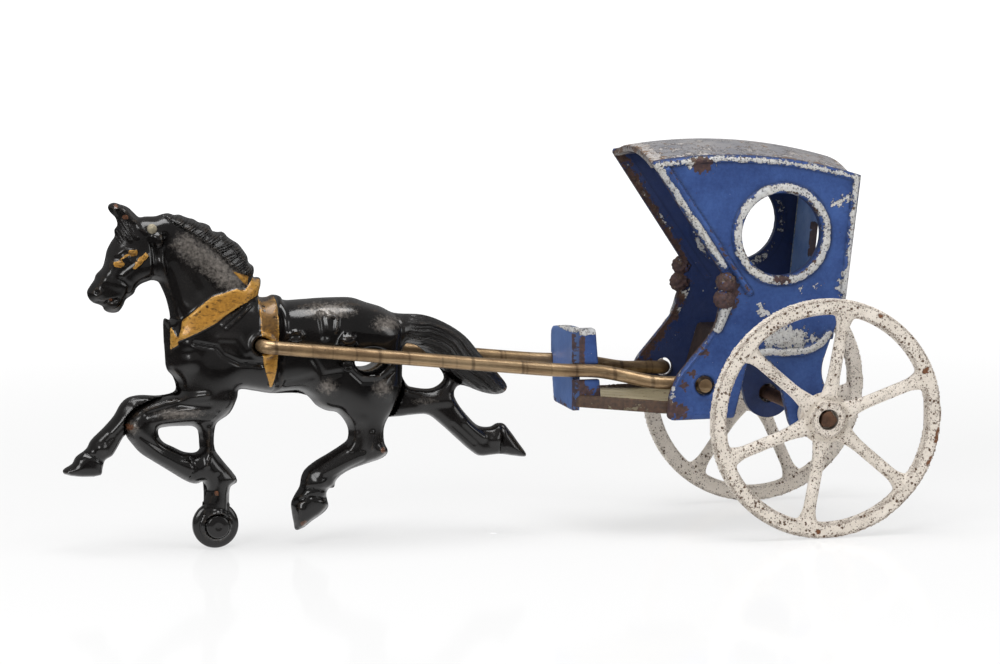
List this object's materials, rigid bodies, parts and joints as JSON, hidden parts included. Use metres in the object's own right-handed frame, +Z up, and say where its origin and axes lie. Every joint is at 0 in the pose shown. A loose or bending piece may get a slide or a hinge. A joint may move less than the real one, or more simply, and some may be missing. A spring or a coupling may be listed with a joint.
{
  "type": "toy horse carriage",
  "caption": "Cast iron pull toy: a trotting horse in two riveted halves draws a small roofed cab on spoked wheels, with wire shafts and a small wheel under the horse.",
  "frame": {"origin": "on the ground, under the middle of the toy's overall box", "axes": "the toy travels towards -X, +Y is its right side, +Z is up"},
  "size_m": [0.2516, 0.0748, 0.1121],
  "materials": {
    "cab_side_left_paint": "worn dark blue enamel with rust and bare white patches",
    "cab_side_right_paint": "worn dark blue enamel with rust and bare white patches",
    "roof_paint": "streaked grey blue enamel, worn to white at the front corners",
    "seat_iron": "rusted iron with remains of dark paint",
    "footboard_paint": "bright blue dash, cream worn floor, rusty edges",
    "axle_iron": "brown oxidised bar with cut ends",
    "wheel_left_paint": "cream white enamel, densely speckled and patched with rust",
    "wheel_right_paint": "cream white enamel, densely speckled and patched with rust",
    "shaft_wire_steel": "brown bronze wire with tan highlights",
    "horse_left_paint": "glossy black enamel with worn gold harness lines",
    "horse_right_paint": "glossy black enamel with worn gold harness lines",
    "guide_wheel_paint": "worn black enamel",
    "neck_rivet_iron": "bright worn rivet head",
    "flank_rivet_iron": "dark rivet with a worn light ring",
    "guide_pin_iron": "black painted pin"
  },
  "bodies": {
    "carriage": {"side_panel_left": "cab_side_left_paint", "side_panel_right": "cab_side_right_paint", "roof_and_back": "roof_paint", "seat": "seat_iron", "footboard": "footboard_paint", "shaft_wire": "shaft_wire_steel", "horse_left_half": "horse_left_paint", "horse_right_half": "horse_right_paint", "neck_rivet": "neck_rivet_iron", "flank_rivet": "flank_rivet_iron", "guide_wheel_pin": "guide_pin_iron"},
    "axle": {"axle": "axle_iron"},
    "wheel_left": {"wheel_left": "wheel_left_paint"},
    "wheel_right": {"wheel_right": "wheel_right_paint"},
    "guide_wheel": {"guide_wheel": "guide_wheel_paint"}
  },
  "joints": [
    {"name": "axle_spin", "type": "hinge", "parent": "carriage", "child": "axle", "pos_m": [0.09075, 0, 0.035], "axis": [0, 1, 0], "continuous": true},
    {"name": "wheel_left_spin", "type": "hinge", "parent": "carriage", "child": "wheel_left", "pos_m": [0.09075, -0.0343, 0.035], "axis": [0, 1, 0], "continuous": true},
    {"name": "wheel_right_spin", "type": "hinge", "parent": "carriage", "child": "wheel_right", "pos_m": [0.09075, 0.0343, 0.035], "axis": [0, 1, 0], "continuous": true},
    {"name": "guide_wheel_spin", "type": "hinge", "parent": "carriage", "child": "guide_wheel", "pos_m": [-0.08265, 0, 0.0067], "axis": [0, 1, 0], "continuous": true}
  ]
}
